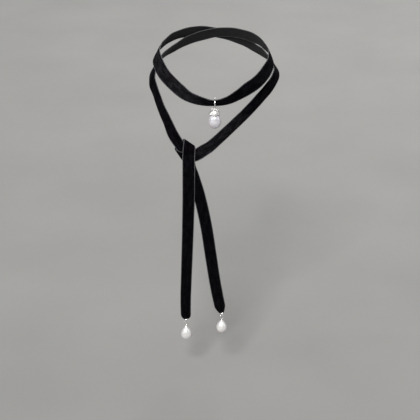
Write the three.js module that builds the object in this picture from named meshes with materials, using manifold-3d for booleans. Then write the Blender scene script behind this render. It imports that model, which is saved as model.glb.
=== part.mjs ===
// A wrap choker: one flat velvet ribbon worn round a neck, tied low on the chest in a half-knot,
// with a drop pearl at the front of the neck and one on each of the two hanging tails.
// Millimetres, +Z up, the wearer faces -Y, and the origin is the middle of the neck loop.
import * as THREE from "three";
import { mergeVertices } from "three/addons/utils/BufferGeometryUtils.js";
import Module from "manifold-3d";

// Ribbon
const RIBBON_WIDTH = 12.7;
const RIBBON_THICKNESS = 1.0;
const CUPPED_WIDTH = 10.5; // a stretch under tension curls across, so it spans less than its full width
const LAYER_PITCH = 1.3; // from the middle of one ribbon layer to the middle of the next, in the knot
const JOIN_GAP = 0.32; // between two stretches that meet end to end
const STEPS_PER_STATION = 2;
const PROBE_STEPS = 100; // how finely a ribbon's speed is measured between two stations

// Neck: the loop lies round an axis that leans forward
const NECK_LEAN = THREE.MathUtils.degToRad(23);

// Knot: ribbon layers lie on a plane that faces forward, a little up and a little to -X
const KNOT_CENTRE = new THREE.Vector3(-26, -69.4, -72.9);
const KNOT_AZIMUTH = -10;
const KNOT_RISE = 20;
const KNOT_STEP = 1.5;
const KNOT_ACROSS_STEPS = 6;

// Findings: wire, rings and eyes
const RING_TUBE = 0.45;
const RING_RADIUS = 2.85;
const CENTRE_RING_TUBE = 0.55;
const CENTRE_RING_RADIUS = 5.2;
const EYE_TUBE = 0.45;
const EYE_RADIUS = 1.8;
const EYE_SLACK = 0.3; // free space between an eye and the wire that it hangs on
const POST_RADIUS = 0.4;
const POST_DEPTH = 6;
const TIP_HOLE_RADIUS = 0.8;

// Pearls, each with a drilled hole for its post
const DRILL_RADIUS = 0.65;
const DRILL_DEPTH = 7;
// Taper 0 is an ellipsoid; more draws the top out to a point.
const CENTRE_PEARL = { radius: 6.6, length: 18, taper: 0.5 };
const FRONT_TAIL_PEARL = { radius: 5.65, length: 15.4, taper: 0.5 };
const RIGHT_TAIL_PEARL = { radius: 5.65, length: 14.6, taper: 0.45 };
const CUP_GAP = 0.3;
const CUP_RIM = 0.55; // how far down the pearl a cup reaches, as an angle on its profile
const CUP_SHOULDER = 1; // from the eye down to the pearl
const PETAL_SHOULDER = 0.4;
const CAP_THICKNESS = 0.5;
const PETALS = 5;
const PETAL_NOTCH = 0.2; // how far the gap between two petals cuts in, as a share of the section's length
// The petal cap's section, as distance from the axis and height above the pearl's top: a well that the
// eye stands in, a crown round it, and a skirt of petals
const PETAL_SECTION = [
  [1.4, -0.2], [2.2, -0.1], [2.6, 0.6], [3.1, 1.15], [3.8, 0.8], [4.5, -0.5], [4.9, -2.1], [5.1, -3.8],
];

// How finely round shapes are divided
const WIRE_SIDES = 8;
const EYE_STEPS = 20;
const RING_STEPS = 28;
const POST_SIDES = 12;
const HOLE_SIDES = 16;
const PEARL_SIDES = 20;
const PEARL_STEPS = 12;
const CAP_SIDES = 30;
const CUP_STEPS = 3;
const PETAL_STEPS = 12;
const ACROSS_STEPS = 2;
const PUNCH_LENGTH = 6;

// Where each pendant hangs
const CENTRE_RING_AT = new THREE.Vector3(0.7, -54.3, -23.15);
const FRONT_TAIL_HOLE = new THREE.Vector3(-28.7, -83.2, -248.6);
const RIGHT_TAIL_HOLE = new THREE.Vector3(8.1, -83, -241.4);

const wasm = await Module();
wasm.setup();

const velvet = () => new THREE.MeshStandardMaterial({ color: 0x0b0a0d, roughness: 0.95, metalness: 0 });
const silver = () => new THREE.MeshStandardMaterial({ color: 0xd9dadd, roughness: 0.15, metalness: 1 });
const nacre = () => new THREE.MeshStandardMaterial({ color: 0xf1efea, roughness: 0.2, metalness: 0 });

const group = new THREE.Group();

function add(name, geometry, material, parent = group) {
  const mesh = new THREE.Mesh(geometry, material);
  mesh.name = name;
  parent.add(mesh);
  return mesh;
}

// ---- Solids ----------------------------------------------------------------------------------

// The closed solid of a sheet: surface(u, v) gives its middle point and its outward direction.
// Where around is true the sheet closes on itself in u, like a washer.
function sheetSolid(surface, uSteps, vSteps, thickness, around = false) {
  const rows = around ? uSteps : uSteps + 1;
  const columns = vSteps + 1;
  const positions = [];
  for (const side of [0.5, -0.5]) {
    for (let i = 0; i < rows; i++) {
      for (let j = 0; j < columns; j++) {
        const { point, out } = surface(i / uSteps, j / vSteps);
        const vertex = point.clone().addScaledVector(out, side * thickness);
        positions.push(vertex.x, vertex.y, vertex.z);
      }
    }
  }
  const faces = [];
  const at = (i, j, layer) => layer * rows * columns + (i % rows) * columns + j;
  const quad = (a, b, c, d) => faces.push(a, b, c, a, c, d);
  for (let i = 0; i < uSteps; i++) {
    for (let j = 0; j < vSteps; j++) {
      quad(at(i, j, 0), at(i, j + 1, 0), at(i + 1, j + 1, 0), at(i + 1, j, 0));
      quad(at(i, j, 1), at(i + 1, j, 1), at(i + 1, j + 1, 1), at(i, j + 1, 1));
    }
    quad(at(i, 0, 0), at(i + 1, 0, 0), at(i + 1, 0, 1), at(i, 0, 1));
    quad(at(i, vSteps, 0), at(i, vSteps, 1), at(i + 1, vSteps, 1), at(i + 1, vSteps, 0));
  }
  for (let j = 0; j < vSteps && !around; j++) {
    quad(at(0, j, 0), at(0, j, 1), at(0, j + 1, 1), at(0, j + 1, 0));
    quad(at(uSteps, j, 0), at(uSteps, j + 1, 0), at(uSteps, j + 1, 1), at(uSteps, j, 1));
  }
  const geometry = new THREE.BufferGeometry();
  geometry.setAttribute("position", new THREE.Float32BufferAttribute(positions, 3));
  geometry.setIndex(faces);
  geometry.computeVertexNormals();
  return geometry;
}

function toSolid(geometry) {
  const bare = geometry.clone().deleteAttribute("normal").deleteAttribute("uv");
  const merged = mergeVertices(bare, 1e-4);
  const mesh = new wasm.Mesh({
    numProp: 3,
    vertProperties: new Float32Array(merged.attributes.position.array),
    triVerts: new Uint32Array(merged.index.array),
  });
  return new wasm.Manifold(mesh);
}

function toGeometry(solid) {
  const mesh = solid.getMesh();
  const geometry = new THREE.BufferGeometry();
  geometry.setAttribute("position", new THREE.BufferAttribute(mesh.vertProperties, 3));
  geometry.setIndex(new THREE.BufferAttribute(mesh.triVerts, 1));
  geometry.computeVertexNormals();
  return geometry;
}

const join = (...geometries) => toGeometry(geometries.map(toSolid).reduce((a, b) => a.add(b)));
const cut = (geometry, tool) => toGeometry(toSolid(geometry).subtract(toSolid(tool)));

// ---- Stations of the ribbon: a point of its centreline, the way its face looks, and its width ----

// A direction from its bearing (0 is -Y, 90 is +X) and its rise above the horizontal, in degrees.
function facing(azimuth, rise) {
  const a = THREE.MathUtils.degToRad(azimuth);
  const r = THREE.MathUtils.degToRad(rise);
  return new THREE.Vector3(Math.sin(a) * Math.cos(r), -Math.cos(a) * Math.cos(r), Math.sin(r));
}

const NECK_AXIS = new THREE.Vector3(0, -Math.sin(NECK_LEAN), Math.cos(NECK_LEAN));

// On the neck: the angle round its axis, the level along it, and the distance from it.
function neck(angle, level, radius, rise, width = RIBBON_WIDTH) {
  const tilt = new THREE.Matrix4().makeRotationX(NECK_LEAN);
  const point = facing(angle, 0).multiplyScalar(radius).applyMatrix4(tilt);
  return {
    point: point.addScaledVector(NECK_AXIS, level),
    out: facing(angle, rise).applyMatrix4(tilt),
    width,
  };
}

function chest(x, y, z, azimuth, rise, width = CUPPED_WIDTH) {
  return { point: new THREE.Vector3(x, y, z), out: facing(azimuth, rise), width };
}

const KNOT_OUT = facing(KNOT_AZIMUTH, KNOT_RISE);
const KNOT_RIGHT = facing(KNOT_AZIMUTH + 90, 0);
const KNOT_UP = KNOT_OUT.clone().cross(KNOT_RIGHT);

// On the knot's plane: to the right, up, and how many layers in front of the middle one.
function knotPoint(right, up, layer) {
  return KNOT_CENTRE.clone()
    .addScaledVector(KNOT_RIGHT, right)
    .addScaledVector(KNOT_UP, up)
    .addScaledVector(KNOT_OUT, layer * LAYER_PITCH);
}

const knot = (right, up, layer, width) => ({ point: knotPoint(right, up, layer), out: KNOT_OUT, width });

// The ribbon from the tip of the right tail to where the other half enters the knot. A stretch ends at the
// first station of the next one.
const STRETCHES = [
  {
    name: "right_tail",
    stations: [
      chest(8.1, -83, -242.7, 0, 0, 4.6),
      chest(7.3, -83, -239.5, 0, 0, 8.2),
      chest(6.1, -83, -234.5, 0, 0, 11.5),
      chest(2, -83, -212.5, 0, 0, 11.8),
      chest(-2.5, -82.5, -182, 0, 2, 12),
      chest(-7.5, -81, -146.5, 0, 5, 12),
      chest(-13.5, -79, -116.5, -2, 9, 12),
      chest(-20.3, -75.6, -91, -8, 15, 11),
    ],
  },
  {
    name: "ribbon_left_strand",
    stations: [
      knot(4.2, -11, 0, 9.5),
      knot(2.4, -4.5, 0, 9),
      knot(-7, 8, 0, 10),
      knot(-15.8, 20, 0.6, 11),
      chest(-46.4, -48.5, -45.5, -30, 26),
      chest(-53, -34.8, -35.5, -46, 28),
    ],
  },
  {
    name: "ribbon_left_wrap",
    stations: [
      chest(-59.5, -18, -24.6, -61, 31),
      neck(279, -13.9, 64, 40, 11),
      neck(263, -13.4, 62, 34),
      neck(243, -14.9, 60, 20),
      neck(221, -15.4, 58.6, 8),
      neck(200, -13.2, 58.3, 0),
      neck(180, -9.5, 58.3, 0),
      neck(160, -6, 58.3, 0),
      neck(145, -3.6, 58.3, 0),
      neck(127, -1.6, 59, 6),
      neck(108, -1, 59.8, 16),
      neck(91, -0.2, 57.5, 30),
    ],
  },
  {
    name: "ribbon_front_band",
    stations: [
      neck(73, 0.8, 54, 46),
      neck(51, 4, 54, 46),
      neck(38, 3.7, 54, 39),
      neck(25, 2, 55.2, 22, 11.5),
      neck(12, 0.6, 57.7, 8, 9.8),
      neck(0, 0, 59, 0, 8.2),
      neck(-12, 0.1, 57.7, 10, 9.8),
      neck(-27, 0.8, 56.3, 28, 11.5),
      neck(-38, 2.5, 55, 42),
      neck(-51, 4, 54, 51),
      neck(-68, 4.3, 54.5, 52),
    ],
  },
  {
    name: "ribbon_right_wrap",
    stations: [
      neck(-82, 4.4, 56, 50),
      neck(-97, 3.6, 58.7, 35),
      neck(-113, 1, 60.2, 20),
      neck(-131, -1.5, 60.6, 10),
      neck(-151, -3.8, 60, 3),
      neck(-168, -7, 59.8, 0),
      neck(-180, -9.7, 59.8, 0),
      neck(-196, -13, 59.8, 0),
      neck(-215, -15.8, 60.2, 2),
      neck(-234, -16.5, 61.5, 8),
      neck(-252.5, -14.3, 63, 24),
      neck(-270, -11.2, 64.3, 38, 11),
    ],
  },
  {
    name: "ribbon_right_strand",
    stations: [
      chest(62.5, -5, -13.4, 72, 38),
      chest(57, -15, -19.3, 62, 38),
      chest(45.5, -30, -27.5, 45, 34),
      chest(33, -44, -36.4, 30, 30),
      chest(21.7, -54.5, -43.8, 20, 26),
      chest(11.8, -61.5, -51, 12, 24),
      chest(3.1, -66.6, -57.5, 3, 22),
      knot(21, 9.9, 0.9, 11.2),
    ],
  },
];
const KNOT_ENTRY = knot(16, 6.5, 1, 12);

// The front tail hangs from the top of the knot, in front of every other layer.
const FRONT_TAIL = [
  knot(1.5, 6, 2, RIBBON_WIDTH),
  knot(1.5, -1, 2.1, RIBBON_WIDTH),
  chest(-25, -77.8, -84, -7, 16, 12.7),
  chest(-25.1, -80.3, -97, -3, 10, 12.5),
  chest(-25.3, -81.8, -116, 0, 5, 12.4),
  chest(-26.4, -83, -153.5, 0, 2, 11.8),
  chest(-27.8, -83.6, -192.5, 0, 0, 11.4),
  chest(-29, -83.6, -227, 0, 0, 11),
  chest(-29, -83.3, -244.5, 0, 0, 10.6),
  chest(-28.8, -83.2, -247.8, 0, 0, 9.2),
  chest(-28.7, -83.2, -249.9, 0, 0, 5.4),
];

const curveThrough = (points) => new THREE.CatmullRomCurve3(points, false, "centripetal");

// A ribbon through stations. Its surface takes t along the run and a place across from 0 to 1, and trimmed
// gives the t at a station less (or plus) half the gap between two stretches.
function ribbonThrough(stations) {
  const last = stations.length - 1;
  const middle = curveThrough(stations.map((station) => station.point));
  const look = curveThrough(stations.map((station) => station.out));
  const span = curveThrough(stations.map((station) => new THREE.Vector3(station.width, 0, 0)));
  const surface = (t, across) => {
    const tangent = middle.getTangent(t);
    const out = look.getPoint(t);
    out.addScaledVector(tangent, -out.dot(tangent)).normalize();
    const side = tangent.clone().cross(out);
    return { point: middle.getPoint(t).addScaledVector(side, (across - 0.5) * span.getPoint(t).x), out };
  };
  const trimmed = (station, way) => {
    const t = station / last;
    const probe = way / (PROBE_STEPS * last);
    const speed = middle.getPoint(t).distanceTo(middle.getPoint(t + probe)) / Math.abs(probe);
    return t + (way * JOIN_GAP) / 2 / speed;
  };
  return { surface, trimmed };
}

// The stretch of a ribbon between two values of t.
function stretch(ribbon, from, to, steps) {
  const surface = (u, v) => ribbon.surface(from + u * (to - from), v);
  return sheetSolid(surface, steps, ACROSS_STEPS, RIBBON_THICKNESS);
}

// ---- Folds in the knot ---------------------------------------------------------------------------

// A fold bends a flat layer back over itself along a line, through a half turn of the given radius.
// side is 1 where the ribbon goes from the front to the back, and -1 where it comes forward again.
function makeFold(centre, along, radius, layer, side) {
  const line = new THREE.Vector2(...along).normalize();
  return {
    centre: new THREE.Vector2(...centre),
    line,
    beyond: new THREE.Vector2(side * line.y, -side * line.x),
    radius,
    height: layer * LAYER_PITCH,
    side,
  };
}

// Where a point of the unfolded flat ribbon comes to lie.
function foldedPoint(flat, fold) {
  const offset = flat.clone().sub(fold.centre);
  const along = offset.dot(fold.line);
  const past = offset.dot(fold.beyond);
  const turn = THREE.MathUtils.clamp(past / fold.radius, 0, Math.PI);
  const straight = past < 0 ? past : -Math.max(past - Math.PI * fold.radius, 0);
  const reach = straight + fold.radius * Math.sin(turn);
  const height = fold.height - fold.side * fold.radius * (1 - Math.cos(turn));
  const right = fold.centre.x + fold.line.x * along + fold.beyond.x * reach;
  const up = fold.centre.y + fold.line.y * along + fold.beyond.y * reach;
  const beyond = new THREE.Vector3()
    .addScaledVector(KNOT_RIGHT, fold.beyond.x)
    .addScaledVector(KNOT_UP, fold.beyond.y);
  return {
    point: knotPoint(right, up, height / LAYER_PITCH),
    out: KNOT_OUT.clone().multiplyScalar(fold.side * Math.cos(turn)).addScaledVector(beyond, Math.sin(turn)),
  };
}

// Unfolds a point that lies past the fold back into the flat ribbon's plane.
function unfolded(point, fold) {
  const offset = new THREE.Vector2(...point).sub(fold.centre);
  const along = offset.dot(fold.line);
  const past = Math.PI * fold.radius - offset.dot(fold.beyond);
  return fold.centre.clone().addScaledVector(fold.line, along).addScaledVector(fold.beyond, past);
}

// A flat ribbon along a centreline in the knot's plane, bent back at one fold.
function foldedRibbon(path, widths, fold) {
  const curve = new THREE.SplineCurve(path);
  const width = new THREE.SplineCurve(widths.map((w) => new THREE.Vector2(w, 0)));
  const length = curve.getLength();
  const trim = JOIN_GAP / 2 / length;
  const surface = (u, v) => {
    const t = curve.getUtoTmapping(trim + u * (1 - 2 * trim));
    const tangent = curve.getTangent(t);
    const across = (v - 0.5) * fold.side * width.getPoint(t).x;
    const flat = curve.getPoint(t).add(new THREE.Vector2(tangent.y, -tangent.x).multiplyScalar(across));
    return foldedPoint(flat, fold);
  };
  return sheetSolid(surface, Math.round(length / KNOT_STEP), KNOT_ACROSS_STEPS, RIBBON_THICKNESS);
}

// The half-knot: the right strand crosses in front of the left one, turns back round its outer edge,
// passes behind it and folds forward over the top.
const SIDE_FOLD = makeFold([-7.8, 0.9], [0.625, -0.78], LAYER_PITCH, 1, 1);
const TOP_FOLD = makeFold([1.5, 10.75], [0.866, -0.5], 1.5 * LAYER_PITCH, -1, -1);
const crossing = [[16, 6.5], [8, 1], [0, -1.4], [-7.6, -0.6]].map((p) => new THREE.Vector2(...p));
const returning = [[-10, 2.2], [-9.2, 5.4], [-6.4, 8.4]].map((p) => unfolded(p, SIDE_FOLD));
const topFront = [[1.5, 9.2], [1.5, 6]].map((p) => unfolded(p, TOP_FOLD));
const topBack = [[-6.1, 8.7], [-4.7, 10.15], [-1.9, 11.9]].map((p) => new THREE.Vector2(...p));
const WRAP_WIDTHS = [12, 11.8, 10, 8.6, 9, 9.6, 9.6];
const TOP_WIDTHS = [9.6, 10.2, 11.6, RIBBON_WIDTH, RIBBON_WIDTH];

// ---- Pendants ------------------------------------------------------------------------------------

const DEGREES = Array.from({ length: 181 }, (_, degree) => degree);

// Distance from the axis on a drop's outline at angle t from its top (0) to its bottom (pi).
const taperShape = (t, taper) => Math.sin(t) * Math.sin(t / 2) ** taper;
const widest = (taper) => Math.max(...DEGREES.map((degree) => taperShape((degree * Math.PI) / 180, taper)));

// A point of a drop's outline, its top at height 0, moved out square to the outline by an offset.
function outline(pearl, t, offset = 0) {
  const point = (a) => new THREE.Vector2(
    (pearl.radius * taperShape(a, pearl.taper)) / widest(pearl.taper),
    (-pearl.length * (1 - Math.cos(a))) / 2,
  );
  const here = point(t);
  const run = point(t + 1e-3).sub(point(t - 1e-3)).normalize();
  return here.add(new THREE.Vector2(-run.y, run.x).multiplyScalar(offset));
}

// Angle on the outline at which the drop is as wide as the drilled hole.
function angleAtRadius(pearl, radius) {
  let low = 0;
  let high = 1;
  for (let i = 0; i < 30; i++) {
    const middle = (low + high) / 2;
    if (outline(pearl, middle).x < radius) low = middle;
    else high = middle;
  }
  return low;
}

// LatheGeometry turns about Y, so its axis is stood up along Z.
const upright = (geometry) => geometry.rotateX(Math.PI / 2);

function pearlGeometry(pearl) {
  const mouth = angleAtRadius(pearl, DRILL_RADIUS);
  const profile = [new THREE.Vector2(0, -pearl.length)];
  for (let i = PEARL_STEPS - 1; i >= 0; i--) {
    profile.push(outline(pearl, mouth + ((Math.PI - mouth) * i) / PEARL_STEPS));
  }
  profile.push(new THREE.Vector2(DRILL_RADIUS, -DRILL_DEPTH), new THREE.Vector2(0, -DRILL_DEPTH));
  return upright(new THREE.LatheGeometry(profile, PEARL_SIDES));
}

// A thin shell round the axis. section(angle, v) gives its middle and its outward direction.
function shellGeometry(section, steps) {
  const surface = (u, v) => {
    const angle = 2 * Math.PI * u;
    const { middle, face } = section(angle, v);
    const turned = (p) => new THREE.Vector3(p.x * Math.cos(angle), p.x * Math.sin(angle), p.y);
    return { point: turned(middle), out: turned(face) };
  };
  return sheetSolid(surface, CAP_SIDES, steps, CAP_THICKNESS, true);
}

// A cup that follows the top of a drop from the post out.
function cupGeometry(pearl) {
  const inner = angleAtRadius(pearl, POST_RADIUS / 2);
  const section = (_, v) => {
    const t = inner + v * (CUP_RIM - inner);
    const middle = outline(pearl, t, CUP_GAP + CAP_THICKNESS / 2);
    return { middle, face: outline(pearl, t, CUP_GAP + CAP_THICKNESS).sub(middle).normalize() };
  };
  return shellGeometry(section, CUP_STEPS);
}

// A flower-shaped cap with the middle of one petal to the front.
function petalCapGeometry() {
  const curve = new THREE.SplineCurve(PETAL_SECTION.map((p) => new THREE.Vector2(...p)));
  const section = (angle, v) => {
    const lobe = Math.abs(Math.cos((PETALS * (angle + Math.PI / 2)) / 2));
    const t = v * (1 - PETAL_NOTCH * (1 - lobe));
    const run = curve.getTangentAt(t);
    return { middle: curve.getPointAt(t), face: new THREE.Vector2(-run.y, run.x) };
  };
  return shellGeometry(section, PETAL_STEPS);
}

// The eye's ring stands across X with its middle at the origin, above a straight post.
function eyePeg(postLength, cup) {
  const eye = new THREE.TorusGeometry(EYE_RADIUS, EYE_TUBE, WIRE_SIDES, EYE_STEPS).rotateX(Math.PI / 2);
  const post = new THREE.CylinderGeometry(POST_RADIUS, POST_RADIUS, postLength, POST_SIDES);
  post.rotateX(Math.PI / 2).translate(0, 0, -EYE_RADIUS - postLength / 2);
  return cup ? join(eye, post, cup) : join(eye, post);
}

// A jump ring, and below it an eye peg and its pearl. The ring stands across Y and Z.
function addPendant(name, ringCentre, ringRadius, ringTube, pearl, petals) {
  const ring = new THREE.TorusGeometry(ringRadius, ringTube, WIRE_SIDES, RING_STEPS).rotateY(Math.PI / 2);
  add(name + "_jump_ring", ring, silver()).position.copy(ringCentre);

  const hanging = new THREE.Group();
  const slack = EYE_RADIUS - EYE_TUBE - ringTube - EYE_SLACK;
  hanging.position.copy(ringCentre).add(new THREE.Vector3(0, 0, -ringRadius - slack));
  group.add(hanging);

  const shoulder = petals ? PETAL_SHOULDER : CUP_SHOULDER;
  const pearlTop = -EYE_RADIUS - EYE_TUBE - shoulder;
  const postLength = -pearlTop - EYE_RADIUS + POST_DEPTH;
  if (petals) {
    add(name + "_petal_cap", petalCapGeometry().translate(0, 0, pearlTop), silver(), hanging);
    add(name + "_eye_peg", eyePeg(postLength), silver(), hanging);
  } else {
    const cup = cupGeometry(pearl).translate(0, 0, pearlTop);
    add(name + "_eye_peg", eyePeg(postLength, cup), silver(), hanging);
  }
  add(name + "_pearl", pearlGeometry(pearl), nacre(), hanging).position.z = pearlTop;
}

// ---- Assembly ------------------------------------------------------------------------------------

// A hole through a tail's tip for its ring.
function pierced(geometry, hole) {
  const punch = new THREE.CylinderGeometry(TIP_HOLE_RADIUS, TIP_HOLE_RADIUS, PUNCH_LENGTH, HOLE_SIDES);
  punch.translate(...hole);
  return cut(geometry, punch);
}

const longRoute = ribbonThrough([...STRETCHES.flatMap((part) => part.stations), KNOT_ENTRY]);
let first = 0;
for (const { name, stations } of STRETCHES) {
  const next = first + stations.length;
  const from = first === 0 ? 0 : longRoute.trimmed(first, 1);
  const steps = stations.length * STEPS_PER_STATION;
  const geometry = stretch(longRoute, from, longRoute.trimmed(next, -1), steps);
  add(name, name === "right_tail" ? pierced(geometry, RIGHT_TAIL_HOLE) : geometry, velvet());
  first = next;
}

const knotTop = foldedRibbon([...topBack, ...topFront], TOP_WIDTHS, TOP_FOLD);
add("ribbon_knot_wrap", foldedRibbon([...crossing, ...returning], WRAP_WIDTHS, SIDE_FOLD), velvet());
add("ribbon_knot_top", knotTop, velvet());

const tail = ribbonThrough(FRONT_TAIL);
const tailSteps = (FRONT_TAIL.length - 1) * STEPS_PER_STATION;
const frontTail = stretch(tail, tail.trimmed(0, 1), 1, tailSteps);
add("front_tail", pierced(frontTail, FRONT_TAIL_HOLE), velvet());

const below = (hole) => hole.clone().add(new THREE.Vector3(0, 0, -RING_RADIUS));
addPendant("centre", CENTRE_RING_AT, CENTRE_RING_RADIUS, CENTRE_RING_TUBE, CENTRE_PEARL, true);
addPendant("front_tail", below(FRONT_TAIL_HOLE), RING_RADIUS, RING_TUBE, FRONT_TAIL_PEARL, false);
addPendant("right_tail", below(RIGHT_TAIL_HOLE), RING_RADIUS, RING_TUBE, RIGHT_TAIL_PEARL, false);

export default group;
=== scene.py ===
"""A velvet ribbon wrap choker with three drop pearls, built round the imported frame. Metres, +Z up."""
import math

import bpy
import numpy as np
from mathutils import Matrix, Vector


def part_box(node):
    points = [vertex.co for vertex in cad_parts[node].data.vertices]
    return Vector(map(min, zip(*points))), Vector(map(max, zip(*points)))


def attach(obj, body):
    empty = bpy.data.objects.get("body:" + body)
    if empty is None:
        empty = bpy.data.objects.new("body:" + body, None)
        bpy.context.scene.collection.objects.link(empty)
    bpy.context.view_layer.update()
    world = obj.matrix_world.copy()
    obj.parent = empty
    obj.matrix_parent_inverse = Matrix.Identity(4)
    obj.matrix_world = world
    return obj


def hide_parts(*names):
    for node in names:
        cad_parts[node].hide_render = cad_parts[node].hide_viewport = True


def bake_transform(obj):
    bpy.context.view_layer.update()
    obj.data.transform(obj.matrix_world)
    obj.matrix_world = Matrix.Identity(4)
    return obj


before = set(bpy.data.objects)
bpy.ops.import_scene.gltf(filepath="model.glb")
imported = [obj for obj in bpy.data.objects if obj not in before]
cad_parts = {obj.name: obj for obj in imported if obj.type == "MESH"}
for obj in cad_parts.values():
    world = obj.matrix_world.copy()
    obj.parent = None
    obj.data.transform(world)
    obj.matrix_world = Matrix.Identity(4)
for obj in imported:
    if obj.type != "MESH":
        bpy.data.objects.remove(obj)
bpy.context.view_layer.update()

MM = 0.001


def in_scene(thing):
    """The object, now linked into the scene."""
    bpy.context.scene.collection.objects.link(thing)
    return thing


# ---- Camera --------------------------------------------------------------------------------------

CAMERA_PITCH = math.radians(25)  # how far it looks down
CAMERA_DISTANCE = 1.3
CAMERA_TARGET = Vector((-0.004, -0.0783, -0.1278))
SENSOR = 36.0
FRAME_PIXELS = 420
PIXELS_PER_METRE_AT_TARGET = 1000

camera_data = bpy.data.cameras.new("camera")
camera = in_scene(bpy.data.objects.new("camera", camera_data))
camera_data.sensor_width = SENSOR
camera_data.lens = SENSOR * CAMERA_DISTANCE * PIXELS_PER_METRE_AT_TARGET / FRAME_PIXELS
camera_data.clip_end = 50
look = Vector((0, math.cos(CAMERA_PITCH), -math.sin(CAMERA_PITCH)))
camera.location = CAMERA_TARGET - CAMERA_DISTANCE * look
camera.rotation_euler = look.to_track_quat("-Z", "Y").to_euler()
bpy.context.scene.camera = camera
bpy.context.scene.view_settings.view_transform = "Standard"  # keeps black velvet black and pearls white

# ---- The ribbon's route, in millimetres, as the CAD model has it ---------------------------------

RIBBON_WIDTH = 12.7
CUPPED_WIDTH = 10.5  # a stretch under tension curls across, so it spans less than its full width
NECK_LEAN = math.radians(23)
KNOT_CENTRE = np.array([-26, -69.4, -72.9])
LAYER_PITCH = 1.3  # from one ribbon layer to the next in the knot
ROW_STEP = 1.0  # between two rows of a ribbon's mesh
PROBES = 100  # how finely a curve is measured between two stations
NUDGE = 1e-3  # a small step along a curve, to find its direction


def facing(azimuth, rise):
    """A direction from its bearing (0 is -Y, 90 is +X) and its rise above the horizontal, in degrees."""
    a, r = math.radians(azimuth), math.radians(rise)
    return np.array([math.sin(a) * math.cos(r), -math.cos(a) * math.cos(r), math.sin(r)])


def leant(v):
    """A direction or place of the upright neck, leant forward as the neck is."""
    c, s = math.cos(NECK_LEAN), math.sin(NECK_LEAN)
    return np.array([v[0], c * v[1] - s * v[2], s * v[1] + c * v[2]])


def neck(angle, level, radius, rise, width=RIBBON_WIDTH):
    """A station round the neck. A station is a place, the way that the pile faces, and the ribbon's span."""
    point = leant(facing(angle, 0) * radius + np.array([0, 0, level]))
    return (*point, *leant(facing(angle, rise)), width)


def chest(x, y, z, azimuth, rise, width=CUPPED_WIDTH):
    """A station on the chest."""
    return (x, y, z, *facing(azimuth, rise), width)


KNOT_OUT = facing(-10, 20)
KNOT_RIGHT = facing(80, 0)
KNOT_UP = np.cross(KNOT_OUT, KNOT_RIGHT)


def knot_point(right, up, layer):
    """A place in the knot: right and up across its layers, and how many layers out."""
    right, up, layer = (np.asarray(x, float)[..., None] for x in (right, up, layer))
    return KNOT_CENTRE + right * KNOT_RIGHT + up * KNOT_UP + layer * LAYER_PITCH * KNOT_OUT


def knot(right, up, layer, width):
    """A station in the knot."""
    return (*knot_point(right, up, layer), *KNOT_OUT, width)


RIGHT_TAIL = [
    chest(8.1, -83, -242.7, 0, 0, 4.6),
    chest(7.3, -83, -239.5, 0, 0, 8.2),
    chest(6.1, -83, -234.5, 0, 0, 11.5),
    chest(2, -83, -212.5, 0, 0, 11.8),
    chest(-2.5, -82.5, -182, 0, 2, 12),
    chest(-7.5, -81, -146.5, 0, 5, 12),
    chest(-13.5, -79, -116.5, -2, 9, 12),
    chest(-20.3, -75.6, -91, -8, 15, 11),
    knot(4.2, -11, 0, 9.5),
]
LEFT_STRAND = [
    knot(2.4, -4.5, 0, 9),
    knot(-7, 8, 0, 10),
    knot(-15.8, 20, 0.6, 11),
    chest(-46.4, -48.5, -45.5, -30, 26),
    chest(-53, -34.8, -35.5, -46, 28),
    chest(-59.5, -18, -24.6, -61, 31),
]
LEFT_WRAP = [
    neck(279, -13.9, 64, 40, 11),
    neck(263, -13.4, 62, 34),
    neck(243, -14.9, 60, 20),
    neck(221, -15.4, 58.6, 8),
    neck(200, -13.2, 58.3, 0),
    neck(180, -9.5, 58.3, 0),
    neck(160, -6, 58.3, 0),
    neck(145, -3.6, 58.3, 0),
    neck(127, -1.6, 59, 6),
    neck(108, -1, 59.8, 16),
    neck(91, -0.2, 57.5, 30),
]
FRONT_BAND = [
    neck(73, 0.8, 54, 46),
    neck(51, 4, 54, 46),
    neck(38, 3.7, 54, 39),
    neck(25, 2, 55.2, 22, 11.5),
    neck(12, 0.6, 57.7, 8, 9.8),
    neck(0, 0, 59, 0, 8.2),
    neck(-12, 0.1, 57.7, 10, 9.8),
    neck(-27, 0.8, 56.3, 28, 11.5),
    neck(-38, 2.5, 55, 42),
    neck(-51, 4, 54, 51),
    neck(-68, 4.3, 54.5, 52),
]
RIGHT_WRAP = [
    neck(-82, 4.4, 56, 50),
    neck(-97, 3.6, 58.7, 35),
    neck(-113, 1, 60.2, 20),
    neck(-131, -1.5, 60.6, 10),
    neck(-151, -3.8, 60, 3),
    neck(-168, -7, 59.8, 0),
    neck(-180, -9.7, 59.8, 0),
    neck(-196, -13, 59.8, 0),
    neck(-215, -15.8, 60.2, 2),
    neck(-234, -16.5, 61.5, 8),
    neck(-252.5, -14.3, 63, 24),
    neck(-270, -11.2, 64.3, 38, 11),
]
RIGHT_STRAND = [
    chest(62.5, -5, -13.4, 72, 38),
    chest(57, -15, -19.3, 62, 38),
    chest(45.5, -30, -27.5, 45, 34),
    chest(33, -44, -36.4, 30, 30),
    chest(21.7, -54.5, -43.8, 20, 26),
    chest(11.8, -61.5, -51, 12, 24),
    chest(3.1, -66.6, -57.5, 3, 22),
    knot(21, 9.9, 0.9, 11.2),
    knot(16, 6.5, 1, 12),
]
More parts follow.
